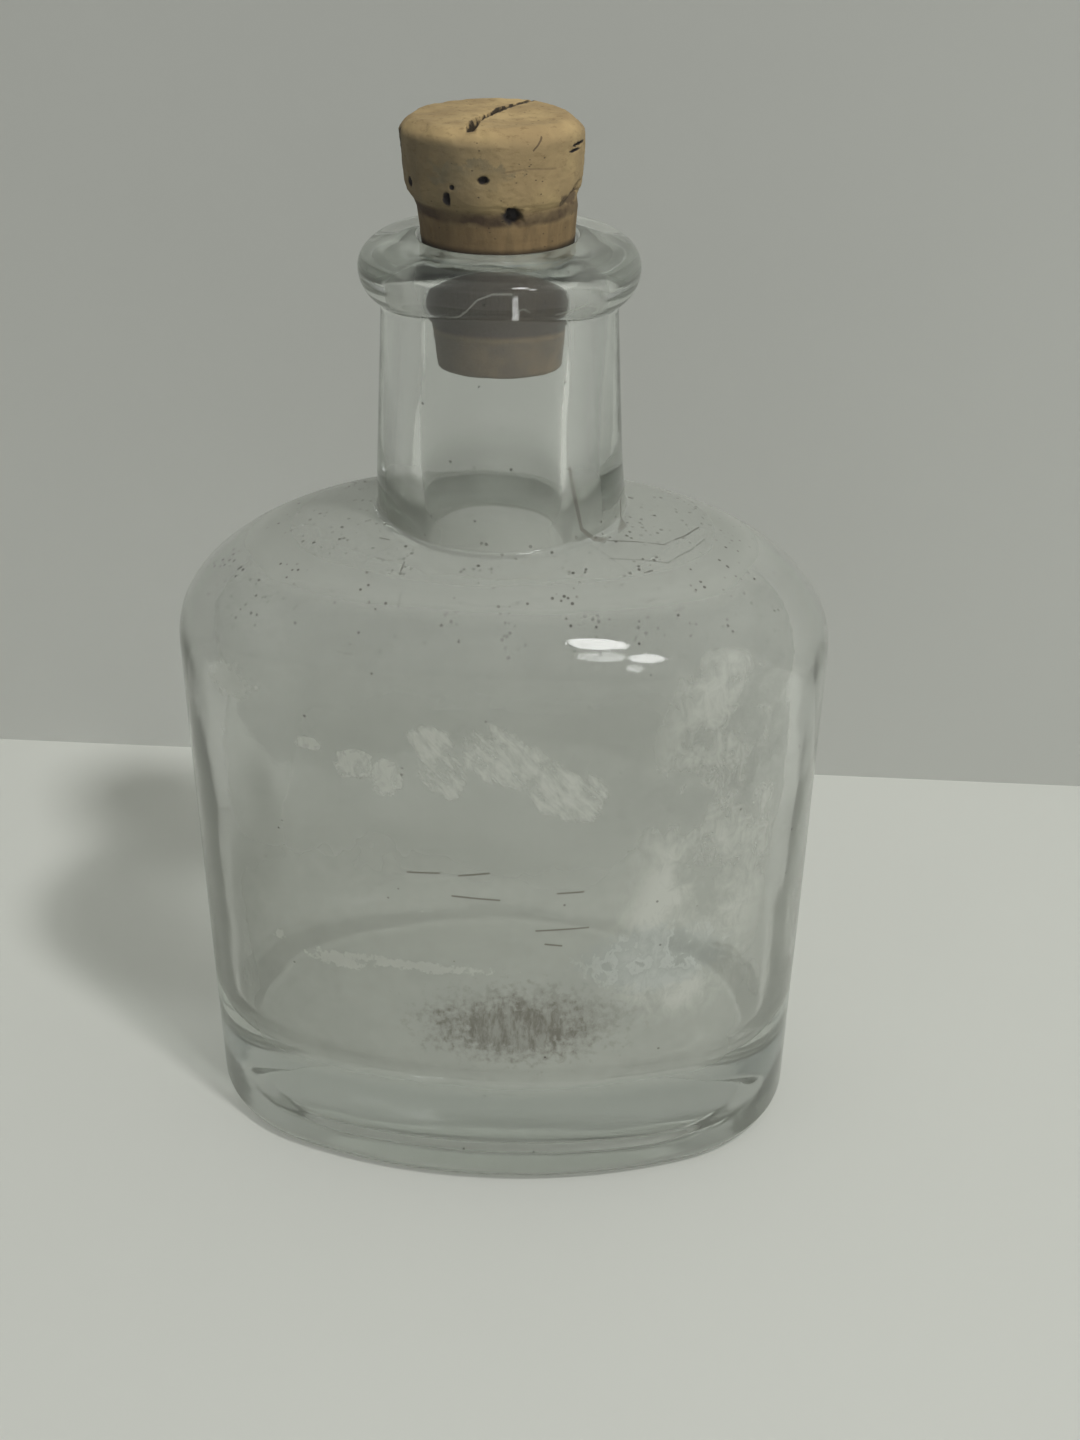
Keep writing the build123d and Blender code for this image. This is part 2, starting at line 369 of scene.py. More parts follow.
class FlaskRows:
    """The rows of the flask's surface, from the middle of the foot, up the outside, in at the mouth and
    down to the middle of the chamber's floor."""

    def __init__(self, columns):
        self.turn = oval_turns(columns)
        x, y = oval(BODY_HALF_WIDTH, BODY_HALF_DEPTH, self.turn)
        reach = np.hypot(x, y)
        self.across, self.through = x / reach, y / reach
        self.rows, self.inside = [], []

    def put(self, x, y, z, inside=False):
        """Rows from their coordinates, marked as inside or outside."""
        rings = np.stack(np.broadcast_arrays(x, y, z + 0 * self.turn), -1)
        self.rows.append(rings)
        self.inside.append(np.full(len(rings), float(inside)))

    def ring(self, radius, z, inside=False):
        """Round rows, in the directions of the columns."""
        self.put(radius * self.across, radius * self.through, z, inside)

    def body(self, z, inset_x, inset_y, inside=False):
        """Oval rows of the body, which narrows a little from the shoulder down to the foot."""
        low = 1 - np.clip(z / (SHOULDER_TOP - END_DROP), 0, 1)
        half_width = BODY_HALF_WIDTH - FOOT_NARROWING * low - inset_x
        half_depth = BODY_HALF_DEPTH - FOOT_THINNING * low - inset_y
        self.put(*oval(half_width, half_depth, self.turn), z, inside)

    def chamber(self, z, inset):
        """Rows of the chamber: low down a superellipse, squarer than the body, where the broad faces are
        thick, and further up the body's oval."""
        self.body(z, END_WALL + inset, FACE_WALL + inset, True)
        low = 1 - np.clip(z / (SHOULDER_TOP - END_DROP), 0, 1)
        half_width = BODY_HALF_WIDTH - FOOT_NARROWING * low - END_WALL - inset
        half_depth = CHAMBER_HALF_DEPTH - inset
        aside, behind = abs(self.across / half_width), abs(self.through / half_depth)
        radius = (aside**CHAMBER_POWER + behind**CHAMBER_POWER) ** (-1 / CHAMBER_POWER)
        risen = np.clip((z - CHAMBER_SQUARE_TO) / (CHAMBER_OVAL_FROM - CHAMBER_SQUARE_TO), 0, 1)
        squarer = (1 - risen) * np.ones_like(radius)
        rings = self.rows[-1]
        rings[..., X] += squarer * (radius * self.across - rings[..., X])
        rings[..., Y] += squarer * (radius * self.through - rings[..., Y])

    def shoulder_start(self):
        """The height at which the shoulder starts, lower over the broad faces than at the ends."""
        drop = END_DROP + (FACE_DROP - END_DROP) * self.through**2
        return SHOULDER_TOP - drop

    def shoulder(self, inset_x, inset_y, inset_z, root_radius, fillet, arc_rows, fillet_rows):
        """In each upright plane through the axis the shoulder is a quarter of a superellipse, up to where a
        circle of the fillet's radius touches both it and the neck, and then that circle up to the neck.
        Halving finds the touching point. Gives the coordinates of the rows, and the height of their end."""
        start = self.shoulder_start()
        reach = np.hypot(*oval(BODY_HALF_WIDTH - inset_x, BODY_HALF_DEPTH - inset_y, self.turn))
        rise = SHOULDER_TOP - inset_z - start
        power = END_POWER + (FACE_POWER - END_POWER) * self.through**2

        def curve(angle):
            out, up = np.cos(angle) ** (2 / power), np.sin(angle) ** (2 / power)
            slope = np.stack([out ** (power - 1) / reach, up ** (power - 1) / rise])
            return reach * out, start + rise * up, slope / np.hypot(*slope)

        low, high = np.zeros_like(reach), np.full_like(reach, math.pi / 2)
        for _ in range(HALVINGS):
            middle = (low + high) / 2
            radius, _, normal = curve(middle)
            outside = radius + fillet * normal[0] > root_radius + fillet
            low, high = np.where(outside, middle, low), np.where(outside, high, middle)
        touch = (low + high) / 2
        radius, height, normal = curve(touch)
        centre_z = height + fillet * normal[1]
        radii, heights, _ = curve(steps(arc_rows) * touch)
        lean = np.arctan2(normal[1], normal[0]) * (1 - steps(fillet_rows)[1:])
        radii = np.concatenate([radii, root_radius + fillet - fillet * np.cos(lean)])
        heights = np.concatenate([heights, centre_z - fillet * np.sin(lean)])
        x, y = oval(BODY_HALF_WIDTH - inset_x, BODY_HALF_DEPTH - inset_y, self.turn)
        spread = np.hypot(x, y)
        rows = radii / spread * x, radii / spread * y, heights
        return rows, centre_z


def flask_outside(rows):
    """Foot hollow, ring, heel, tapered side, shoulder, neck and the outer half of the ring lip."""
    hollow_x, hollow_y = BODY_HALF_WIDTH - FOOT_NARROWING - HOLLOW_RING, BODY_HALF_DEPTH - HOLLOW_RING
    for share in np.linspace(0.1, 0.8, HOLLOW_ROOF_ROWS):
        x, y = oval(hollow_x - HOLLOW_SLOPE, hollow_y - HOLLOW_SLOPE, rows.turn)
        rows.put(share * x[None], share * y[None], HOLLOW_DEPTH)
    slope = steps(HOLLOW_SLOPE_ROWS)
    x, y = oval(hollow_x - HOLLOW_SLOPE * (1 - slope), hollow_y - HOLLOW_SLOPE * (1 - slope), rows.turn)
    rows.put(x, y, HOLLOW_DEPTH * (1 - ease(slope, 0, 1)))
    inset = HOLLOW_RING + (HEEL_RADIUS - HOLLOW_RING) * steps(RING_ROWS, 0.1, 0.9)
    rows.body(np.zeros_like(inset), inset, inset)
    corner = steps(HEEL_ROWS) * math.pi / 2
    inset = HEEL_RADIUS * (1 - np.sin(corner))
    rows.body(HEEL_RADIUS * (1 - np.cos(corner)), inset, inset)
    start = rows.shoulder_start()
    rows.body(HEEL_RADIUS + (start - HEEL_RADIUS) * steps(SIDE_ROWS)[1:-1], 0, 0)
    shoulder, root_z = rows.shoulder(0, 0, 0, NECK_ROOT_RADIUS, ROOT_FILLET, SHOULDER_ROWS, ROOT_ROWS)
    rows.put(*shoulder)
    widest = GLASS_HEIGHT - LIP_WIDEST_DROP + WIDEST_LIFT_SHARE * LIP_LIFT * rows.through**2
    low_angle = -math.acos(1 - (LIP_RADIUS - NECK_TOP_RADIUS) / LIP_BULGE)
    crease = widest + LIP_BULGE * math.sin(low_angle) + CREASE_LIFT_SHARE * LIP_LIFT * rows.through**2
    share = steps(NECK_ROWS)[1:]
    radius = NECK_ROOT_RADIUS + (NECK_TOP_RADIUS - NECK_ROOT_RADIUS) * share
    rows.ring(radius, root_z + (crease - root_z) * share)
    angle = low_angle * (1 - steps(LIP_UNDER_ROWS)[1:])
    rise = np.sin(angle) / math.sin(low_angle)
    rows.ring(LIP_RADIUS - LIP_BULGE * (1 - np.cos(angle)), widest + (crease - widest) * rise)
    angle = steps(LIP_OVER_ROWS)[1:] * math.pi / 2
    radius = LIP_TOP_RADIUS + (LIP_RADIUS - LIP_TOP_RADIUS) * np.cos(angle)
    rows.ring(radius, widest + (GLASS_HEIGHT - widest) * np.sin(angle))


def flask_inside(rows):
    """Flat top of the lip, mouth, seat, bore, inner shoulder, chamber walls and chamber floor."""
    mouth_flat = MOUTH_RADIUS + MOUTH_EDGE
    share = steps(LIP_FLAT_ROWS)[1:-1]
    rows.ring(LIP_TOP_RADIUS + (mouth_flat - LIP_TOP_RADIUS) * share, GLASS_HEIGHT)
    corner = steps(MOUTH_EDGE_ROWS) * math.pi / 2
    rows.ring(mouth_flat - MOUTH_EDGE * np.sin(corner), GLASS_HEIGHT - MOUTH_EDGE * (1 - np.cos(corner)))
    share = steps(SEAT_ROWS)[1:]
    seat_top, seat_foot = GLASS_HEIGHT - MOUTH_EDGE, GLASS_HEIGHT - SEAT_LENGTH
    radius = MOUTH_RADIUS + (BORE_RADIUS - MOUTH_RADIUS) * share
    rows.ring(radius, seat_top + (seat_foot - seat_top) * share)
    walls, counts = (END_WALL, FACE_WALL, SHOULDER_WALL), (INNER_SHOULDER_ROWS, FLARE_ROWS)
    shoulder, root_z = rows.shoulder(*walls, BORE_RADIUS, BORE_FILLET, *counts)
    share = steps(BORE_ROWS)[1:-1]
    rows.ring(BORE_RADIUS, seat_foot + (root_z - seat_foot) * share, True)
    rows.put(*(part[::-1] for part in shoulder), True)
    heel = CHAMBER_HEEL * (1 + CHAMBER_END_HEEL * rows.across**2)
    start, heel_top = rows.shoulder_start(), CHAMBER_FLOOR + heel
    rows.chamber(start + (heel_top - start) * steps(WALL_ROWS)[1:-1], 0)
    corner = steps(INNER_HEEL_ROWS) * math.pi / 2
    rows.chamber(heel_top - heel * np.sin(corner), heel * (1 - np.cos(corner)))
    x, y, _ = np.moveaxis(rows.rows[-1][-1], -1, 0)
    share = steps(FLOOR_ROWS, 0.95, 0.08)
    rows.put(share * x, share * y, CHAMBER_FLOOR + FLOOR_RISE * (1 - ease(share, 0, 1)), True)


def waves(points, height, size, seed):
    """Smooth noise up to a height to either side."""
    return height * cloud(points, size, seed)


def old_glass_waves(points, inside):
    """How far the hand-made surface strays from the true one, along its normal: long waves on the chamber's
    side, a fold of glass at the right of the neck's root, and upright ripples on the right-hand end."""
    inside = inside[:, None]
    x, y, z = np.moveaxis(points / MM, -1, 0)
    in_body = ease(z, 9.0, 14.0) * (1 - ease(z, 70.0, 76.0))
    chamber = waves(points, *CHAMBER_WAVES) + waves(points, *CHAMBER_RIPPLES)
    angle = np.arctan2(x, -y) / DEG
    lean = 0.3 * (z - 60.0)
    fold = ease(angle, 36.0 + lean, 40.0 + lean) * (1 - ease(angle, 62.0, 86.0))
    fold *= ease(z, 60.4, 61.4) * (1 - ease(z, 64.0, 69.0))
    ripples = waves(points, *END_RIPPLES) * ease(x, 16.0, 23.0)
    ripples *= ease(z, 10.0, 16.0) * (1 - ease(z, 40.0, 50.0))
    below_lip = ease(z, 2.0, 8.0) * (1 - ease(z, 76.0, 80.0))
    outer = (waves(points, *SKIN_WAVES) + ripples) * below_lip + FOLD_HEIGHT * fold
    return (inside * chamber * in_body + (1 - inside) * outer) * MM


def flask_glass():
    """The flask as one closed skin of glass, waves included, with its bore a little to the left of the
    axis."""
    rows = FlaskRows(FLASK_COLUMNS)
    flask_outside(rows)
    flask_inside(rows)
    points = np.concatenate(rows.rows)
    inside = np.concatenate(rows.inside)
    points += grid_normals(points) * old_glass_waves(points, inside)[..., None]
    height = points[..., Z]
    in_bore = 1 - ease(np.hypot(points[..., X], points[..., Y]), *SHIFT_FADES)
    aside = BORE_SHIFT + (MOUTH_SHIFT - BORE_SHIFT) * ease(height, *MOUTH_ZONE)
    points[..., X] += aside * in_bore * ease(height, *BORE_ZONE)
    points[..., X] += NECK_SHIFT * ease(height, *NECK_ZONE)
    poles = (0, 0, HOLLOW_DEPTH), (0, 0, CHAMBER_FLOOR + FLOOR_RISE)
    return closed_piece("flask_glass", points, *poles, "bottle", "glass_bottle", "clear_glass")


def cork_profile():
    """Radius and height of each row of the cork, before wear: foot, plug, step, head, rim and top."""
    parts = [(steps(CORK_FOOT_ROWS, 0.04, 0.92) * CORK_FOOT_RADIUS, CORK_FOOT)]
    corner = steps(CORK_BEVEL_ROWS) * math.pi / 2
    radius = CORK_FOOT_RADIUS - CORK_BEVEL * (1 - np.sin(corner))
    parts.append((radius, CORK_FOOT + CORK_BEVEL * (1 - np.cos(corner))))
    bevel_top = CORK_FOOT + CORK_BEVEL
    share = steps(PLUG_ROWS)[1:]
    radius = CORK_FOOT_RADIUS + (CORK_MOUTH_RADIUS - CORK_FOOT_RADIUS) * share
    parts.append((radius, bevel_top + (GLASS_HEIGHT - bevel_top) * share))
    share = steps(BAND_ROWS)[1:]
    radius = CORK_MOUTH_RADIUS + (CORK_STEP_RADIUS - CORK_MOUTH_RADIUS) * share
    parts.append((radius, GLASS_HEIGHT + (CORK_STEP - GLASS_HEIGHT) * share))
    share = steps(STEP_ROWS)[1:]
    radius = CORK_STEP_RADIUS + (CORK_HEAD_RADIUS - CORK_STEP_RADIUS) * ease(share, 0, 1)
    parts.append((radius, CORK_STEP + CORK_HEAD_FOOT * share))
    head_foot, rim_foot = CORK_STEP + CORK_HEAD_FOOT, CORK_TOP - CORK_RIM
    share = steps(HEAD_ROWS)[1:]
    swell = np.sin(share * math.pi / 2) ** HEAD_SWELL_POWER
    radius = CORK_HEAD_RADIUS + (CORK_RADIUS - CORK_HEAD_RADIUS) * swell
    parts.append((radius, head_foot + (rim_foot - head_foot) * share))
    corner = steps(RIM_ROWS)[1:] * math.pi / 2
    parts.append((CORK_RADIUS - CORK_RIM * (1 - np.cos(corner)), rim_foot + CORK_RIM * np.sin(corner)))
    parts.append((steps(CORK_TOP_ROWS, 0.98, 0.03) * (CORK_RADIUS - CORK_RIM), CORK_TOP))
    across = np.zeros((1, CORK_COLUMNS))
    radii = np.concatenate([radius + across for radius, _ in parts])
    heights = np.concatenate([radius * 0 + height + across for radius, height in parts])
    return radii, heights


# Pits of the cork: angle from the front towards +X, height, half width, half height and depth
CORK_PITS = [
    (18.0 * DEG, 87.5 * MM, 0.95 * MM, 0.72 * MM, 0.8 * MM),
    (-0.9 * DEG, 90.4 * MM, 0.52 * MM, 0.34 * MM, 0.45 * MM),
    (-21.3 * DEG, 89.7 * MM, 0.24 * MM, 0.22 * MM, 0.3 * MM),
    (-25.5 * DEG, 88.7 * MM, 0.38 * MM, 0.62 * MM, 0.5 * MM),
    (-60.0 * DEG, 89.4 * MM, 0.4 * MM, 0.46 * MM, 0.4 * MM),
    (-75.0 * DEG, 92.4 * MM, 0.4 * MM, 0.9 * MM, 0.4 * MM),
    (72.0 * DEG, 92.4 * MM, 1.3 * MM, 0.17 * MM, 0.4 * MM),
    (66.0 * DEG, 92.0 * MM, 1.0 * MM, 0.12 * MM, 0.3 * MM),
    (112.0 * DEG, 90.1 * MM, 0.4 * MM, 0.3 * MM, 0.5 * MM),
    (150.0 * DEG, 91.5 * MM, 0.3 * MM, 0.55 * MM, 0.5 * MM),
    (-128.0 * DEG, 89.0 * MM, 0.5 * MM, 0.3 * MM, 0.5 * MM),
    (-165.0 * DEG, 92.0 * MM, 0.25 * MM, 0.25 * MM, 0.4 * MM),
]


def split_line(y):
    """Where the split in the cork's top runs: a shallow bow from the front rim to the back one."""
    offset, slope, bow = SPLIT_BOW
    return offset + slope * y + bow * y * y


def rubbed_rim(points, radii, heights, angle, out):
    """Wear rubs the rim back by an uneven amount, which leaves flats with ridges between them."""
    ring = np.stack([np.sin(angle), np.cos(angle), 0 * angle], -1)
    wear = 0.5 + 0.45 * cloud(ring, *BROAD_WEAR) + 0.25 * cloud(ring, *FINE_WEAR)
    wear += 0.6 * (1 - ease(abs(angle / DEG + 9), 4, 16))
    thick = 0.75 * CORK_RIM
    past_rim = (radii + heights - (CORK_RADIUS + CORK_TOP - 1.15 * CORK_RIM)) / thick
    cut = np.clip(past_rim, 0, None) * thick * np.clip(wear, 0, 1)
    return points - (out + (0, 0, 1)) / 2 * cut[..., None]


def cork_relief(points, heights, angle):
    """How far the cork's skin stands in or out along its normal: lumps, grain, pits, and the tear above the
    step at the right."""
    head = ease(heights, CORK_STEP - 0.1 * MM, CORK_STEP + 0.5 * MM)
    free = ease(heights, GLASS_HEIGHT + 0.2 * MM, GLASS_HEIGHT + 0.8 * MM)
    low_end = 1 - ease(heights, GLASS_HEIGHT - 8.2 * MM, GLASS_HEIGHT - 7.4 * MM)
    lumps = 0.09 * cloud(points, *BROAD_LUMPS) + 0.05 * cloud(points, *FINE_LUMPS) - 0.14
    grain = 0.03 * cloud(points, *GRAIN)
    depth = (lumps + grain) * MM * np.maximum(head, 0.35 * free) + grain * MM * low_end
    ragged = 1 + 0.35 * cloud(points, *PIT_EDGE)
    for around, height, half_width, half_height, pit_depth in CORK_PITS:
        aside = (np.mod(angle - around + math.pi, TURN) - math.pi) * CORK_RADIUS / half_width
        above = (heights - height) / half_height
        depth -= pit_depth * (1 - ease(np.hypot(aside, above) * ragged, 0.35, 1.0)) * free
    tear = ease(angle / DEG, 48, 66) * (1 - ease(angle / DEG, 78, 96))
    torn_top = CORK_STEP + (0.2 + 1.5 * ease(angle / DEG, 50, 74)) * MM
    below = 1 - ease(heights, torn_top - 0.2 * MM, torn_top + 0.1 * MM)
    return depth - 0.55 * MM * tear * below * head


def split_depth(points):
    """How deep the split across the cork's top is, widest towards the front."""
    line = split_line(points[..., Y]) - 0.12 * MM * cloud(points, *SPLIT_EDGE)
    width = (0.5 - 0.2 * ease(points[..., Y], -6 * MM, 5 * MM)) * MM
    on_top = ease(points[..., Z], CORK_TOP - 1.1 * MM, CORK_TOP - 0.5 * MM)
    split = (1 - ease(abs(points[..., X] - line), 0.35 * width, width)) * ease(points[..., Y], *SPLIT_FRONT)
    return (1.0 + 0.3 * cloud(points, *SPLIT_BED)) * MM * split * on_top


def worn_cork():
    """The cork as one closed skin: its profile turned, then worn, pitted, torn, split and leaned."""
    radii, heights = cork_profile()
    turn = np.linspace(-math.pi, math.pi, CORK_COLUMNS, endpoint=False)
    angle = turn[None] + 0 * radii
    out = np.stack([np.sin(angle), -np.cos(angle), 0 * angle], -1)
    points = radii[..., None] * out
    points[..., Z] = heights
    normals = grid_normals(points)
    points = rubbed_rim(points, radii, heights, angle, out)
    points += normals * cork_relief(points, heights, angle)[..., None]
    points[..., Z] -= split_depth(points)
    points[..., X] += CORK_SHIFT - math.tan(CORK_LEAN) * (points[..., Z] - CORK_FOOT)
    points[..., X] += CORK_HEAD_SHIFT * ease(points[..., Z], CORK_STEP - 0.8 * MM, CORK_STEP + 0.6 * MM)
    poles = (CORK_SHIFT, 0, CORK_FOOT), (*points[-1].mean(0),)
    return closed_piece("worn_cork", points, *poles, "cork", "cork_stopper", "natural_cork")


# The front face of the glass, where y = x * x / curve - depth, in millimetres
FRONT_DEPTH, FRONT_CURVE = 18.25, 94

# Spots of residue and of haze on the front, in millimetres: the middle, across and up, and the half sizes.
# The second list holds one spot of haze, at 49 mm up, and then painted glints of the lamps' light low on
# the chamber, at about 23 to 24 mm up.
RESIDUE = [((-11.2, 43.7), (1.9, 1.5)), ((-8.4, 42.9), (1.5, 1.9)), ((-15.2, 44.9), (1.3, 0.7))]
HAZE_AND_PAINTED_GLINTS = [
    ((-22.3, 49.0), (2.2, 1.6)), ((-6.6, 23.9), (6.4, 0.5)), ((-19.0, 24.4), (0.5, 0.5)),
    ((-13.4, 23.3), (2.6, 0.8)), ((-12.8, 23.2), (1.5, 0.6)),
]
WRINKLED_FILM = (14.6, 24.6), (6.5, 3.6)
STAIN, STAIN_CORE = ((3.2, 18.2), (9.4, 4.2)), ((2.8, 18.0), (6.4, 2.9))

# Lines on the front, across and up: dark dashes, and scuffs with their widths
DASHES = [
    [(-6.8, 33.6), (-4.0, 33.8)], [(-2.3, 33.7), (0.3, 34.1)], [(-2.9, 31.6), (1.2, 31.4)],
    [(6.2, 32.1), (8.4, 32.2)], [(4.4, 28.3), (8.9, 28.5)], [(5.2, 26.9), (6.6, 26.7)],
]
LEFT_SCUFF = [(-4.7, 46.0), (-3.4, 43.4)], 3.4
MIDDLE_SCUFF = [(0.4, 46.0), (3.7, 44.0), (7.8, 41.4)], 4.2
RIGHT_SCUFF = [(21.2, 49.0), (20.2, 42.0), (19.4, 36.1), (18.4, 30.0), (16.5, 24.0)], 8.0

# Cracks in the dirt on the shoulder, in millimetres: across and from front to back
SHOULDER_CRACKS = [
    [(9.5, -7.0), (11.8, -6.4), (14.2, -5.9), (16.1, -3.2), (17.2, -0.8)],
    [(-9.8, -7.6), (-9.0, -8.0)], [(-7.3, -11.1), (-7.5, -12.0)], [(12.7, -10.2), (13.3, -9.8)],
]

# Marks round the lip and the neck: how far round from the front at the radius given, and up
LIP_MARK_RADIUS, NECK_MARK_RADIUS = 11.5, 10.6
LIP_MARKS = [
    [(-4.1, 80.1), (-2.9, 80.4), (-2.0, 81.1), (-1.0, 82.2), (0.2, 82.7), (1.6, 82.7)],
    [(1.9, 81.0), (2.6, 81.4), (3.1, 81.1)], [(5.5, 80.6), (6.9, 80.9), (8.3, 81.2)],
]
FOLD_LINE = [(6.8, 67.4), (7.2, 64.7), (7.7, 62.0), (9.0, 60.8), (10.8, 60.3), (13.4, 60.9), (13.9, 62.6)]

# Squares of the distance from the axis, in square millimetres: between the bore's wall and the neck's
# outside, and where the fold at the neck's root ends
PAST_BORE, FOLD_END = (70.0, 78.0), (140.0, 130.0)

# Colours of the glass and of what lies on it. The dried film's colour also paints glints, and the dirt's
# colour also paints shade along the fold at the neck's root. The last line has the colour that the depth of
# the glass keeps, and how fast the other colours fade in it.
CLEAR, FILM = (0.985, 0.99, 0.985), (0.54, 0.558, 0.50)
DRIED_FILM_AND_GLINTS, GREEN_FILM = (0.68, 0.69, 0.635), (0.46, 0.50, 0.48)
DIRT_AND_SHADE, BLACK_DIRT = (0.11, 0.095, 0.07), (0.04, 0.035, 0.03)
GLASS_DEPTH, GLASS_DENSITY = (0.72, 0.82, 0.76), 12.0

# How much of the lamps' light the glass passes on to the floor: everywhere, and more through the chamber
SHADOW_LIGHT, CHAMBER_LIGHT = 0.68, 0.29

# Colours of the cork: the head with its marks and pits, the plug, and the band that the lip squeezed, with
# painted shade on the side that faces left, in the pits and the split, and on the plug inside the lip. The
# marks are placed by how far round from the front they lie at the radius given.
DARK_TAN, LIGHT_TAN = (0.42, 0.30, 0.15), (0.60, 0.44, 0.215)
FLECK, DARKER_SIDE = (0.23, 0.155, 0.075), (0.25, 0.19, 0.10)
LEFT_SIDE_SHADE, SQUEEZED, SMUDGE = (0.10, 0.082, 0.052), (0.055, 0.034, 0.022), (0.15, 0.13, 0.085)
TORN, PORE_AND_PIT_SHADE = (0.07, 0.045, 0.03), (0.022, 0.018, 0.018)
PLUG, PLUG_STREAK, PLUG_LEFT_SHADE = (0.26, 0.175, 0.085), (0.13, 0.085, 0.045), (0.09, 0.065, 0.04)
IN_LIP_SHADE, BELOW_LIP = (0.024, 0.017, 0.014), (0.075, 0.058, 0.04)
CORK_MARK_RADIUS = 7.6


def pale_residue_and_glints(f, fibres, broad):
    """Pale marks: scuffs with slanting streaks, a ragged patch down the right-hand side, spots, haze, and
    painted glints low on the chamber.
    """
    along, athwart = 0.64 * f.x - 0.77 * f.z, 0.77 * f.x + 0.64 * f.z
    slanting = f.add("ShaderNodeCombineXYZ", inputs={0: along * 0.3, 1: athwart, 2: 0.3 * f.y})
    streaks = f.noise(0.8, 3.0, 0.6, 0.4, place=slanting)
    scuffs = f.stroke(f.x, f.z, *LEFT_SCUFF).most(f.stroke(f.x, f.z, *MIDDLE_SCUFF))
    patchy = 0.45 * streaks + 0.2 * fibres + 0.35 * f.noise(3.2, 3.0)
    residue = (patchy + 0.34 * (scuffs - 1.0)).rise(0.38, 0.62) * 0.5
    right = f.stroke(f.x, f.z, *RIGHT_SCUFF)
    residue = residue.most(right * (0.35 * fibres + 0.65 * broad).rise(0.4, 0.64) * 0.42)
    for spot in RESIDUE:
        residue = residue.most(f.spot(f.x, f.z, *spot, 0.7) * fibres.rise(0.2, 0.6) * 0.42)
    # The spot of haze, and the painted glints of the lamps' light low on the chamber
    for spot in HAZE_AND_PAINTED_GLINTS:
        residue = residue.most(f.spot(f.x, f.z, *spot, 1.3) * 0.24)
    return residue


def brown_stain(f):
    """The dirt that dried low on the front, in upright streaks, darkest in its core."""
    stain = f.spot(f.x, f.z, *STAIN, 1.0) * 0.4 + f.spot(f.x, f.z, *STAIN_CORE, 1.3) * 0.5
    upright = f.noise(0.8, 4.0, 0.75, place=f.stretched(1.0, 1.0, 0.35))
    return stain * (0.35 + 0.65 * upright.rise(0.34, 0.66))


def shoulder_specks(f, fibres, outer):
    """Specks and cracks of dirt on the shoulder by the neck, and a few specks all over."""
    near_neck = f.z.rise(52.0, 57.0) * f.z.rise(62.5, 61.0) * outer
    specks = f.cells(0.7).rise(0.28, 0.14) * f.noise(2.6, 3.0).rise(0.5, 0.62) * near_neck
    specks = specks.most(f.cells(3.1).rise(0.05, 0.03) * 0.8)
    cracks = f.strokes(f.x, f.y, SHOULDER_CRACKS, 0.1) * f.z.rise(52.0, 53.0) * fibres.rise(0.3, 0.5)
    return specks.most(cracks * 0.8)


def fold_shade(f, outer):
    """Painted shade: the dark line along the fold of glass at the neck's root."""
    line = f.stroke(f.arc(NECK_MARK_RADIUS), f.z, FOLD_LINE, 0.22)
    line = line * f.z.rise(59.6, 60.2) * f.z.rise(78.0, 76.0) * outer
    return line * (f.x * f.x + f.y * f.y).rise(*FOLD_END)


def old_glass_haze(f, broad):
    """How dull the skin is: a little all over, more on the lip, at the neck's root and low on the body, and
    less towards the ends."""
    lip = 0.22 * f.z.rise(79.0, 80.0) * abs(f.x).rise(5.2, 7.0)
    root = 0.34 * f.z.rise(66.0, 61.0) * f.z.rise(56.0, 58.0)
    body = (0.17 + 0.1 * broad.rise(0.35, 0.7)) * f.z.rise(59.5, 55.0) * f.z.rise(9.0, 12.0)
    low = 0.24 * f.z.rise(42.0, 28.0) * f.z.rise(9.0, 12.0)
    ends = 0.5 + 0.5 * abs(f.x).rise(27.0, 18.0)
    return 0.03 + 0.07 * f.z.rise(10.0, 8.0) + lip + root + (body + low) * ends


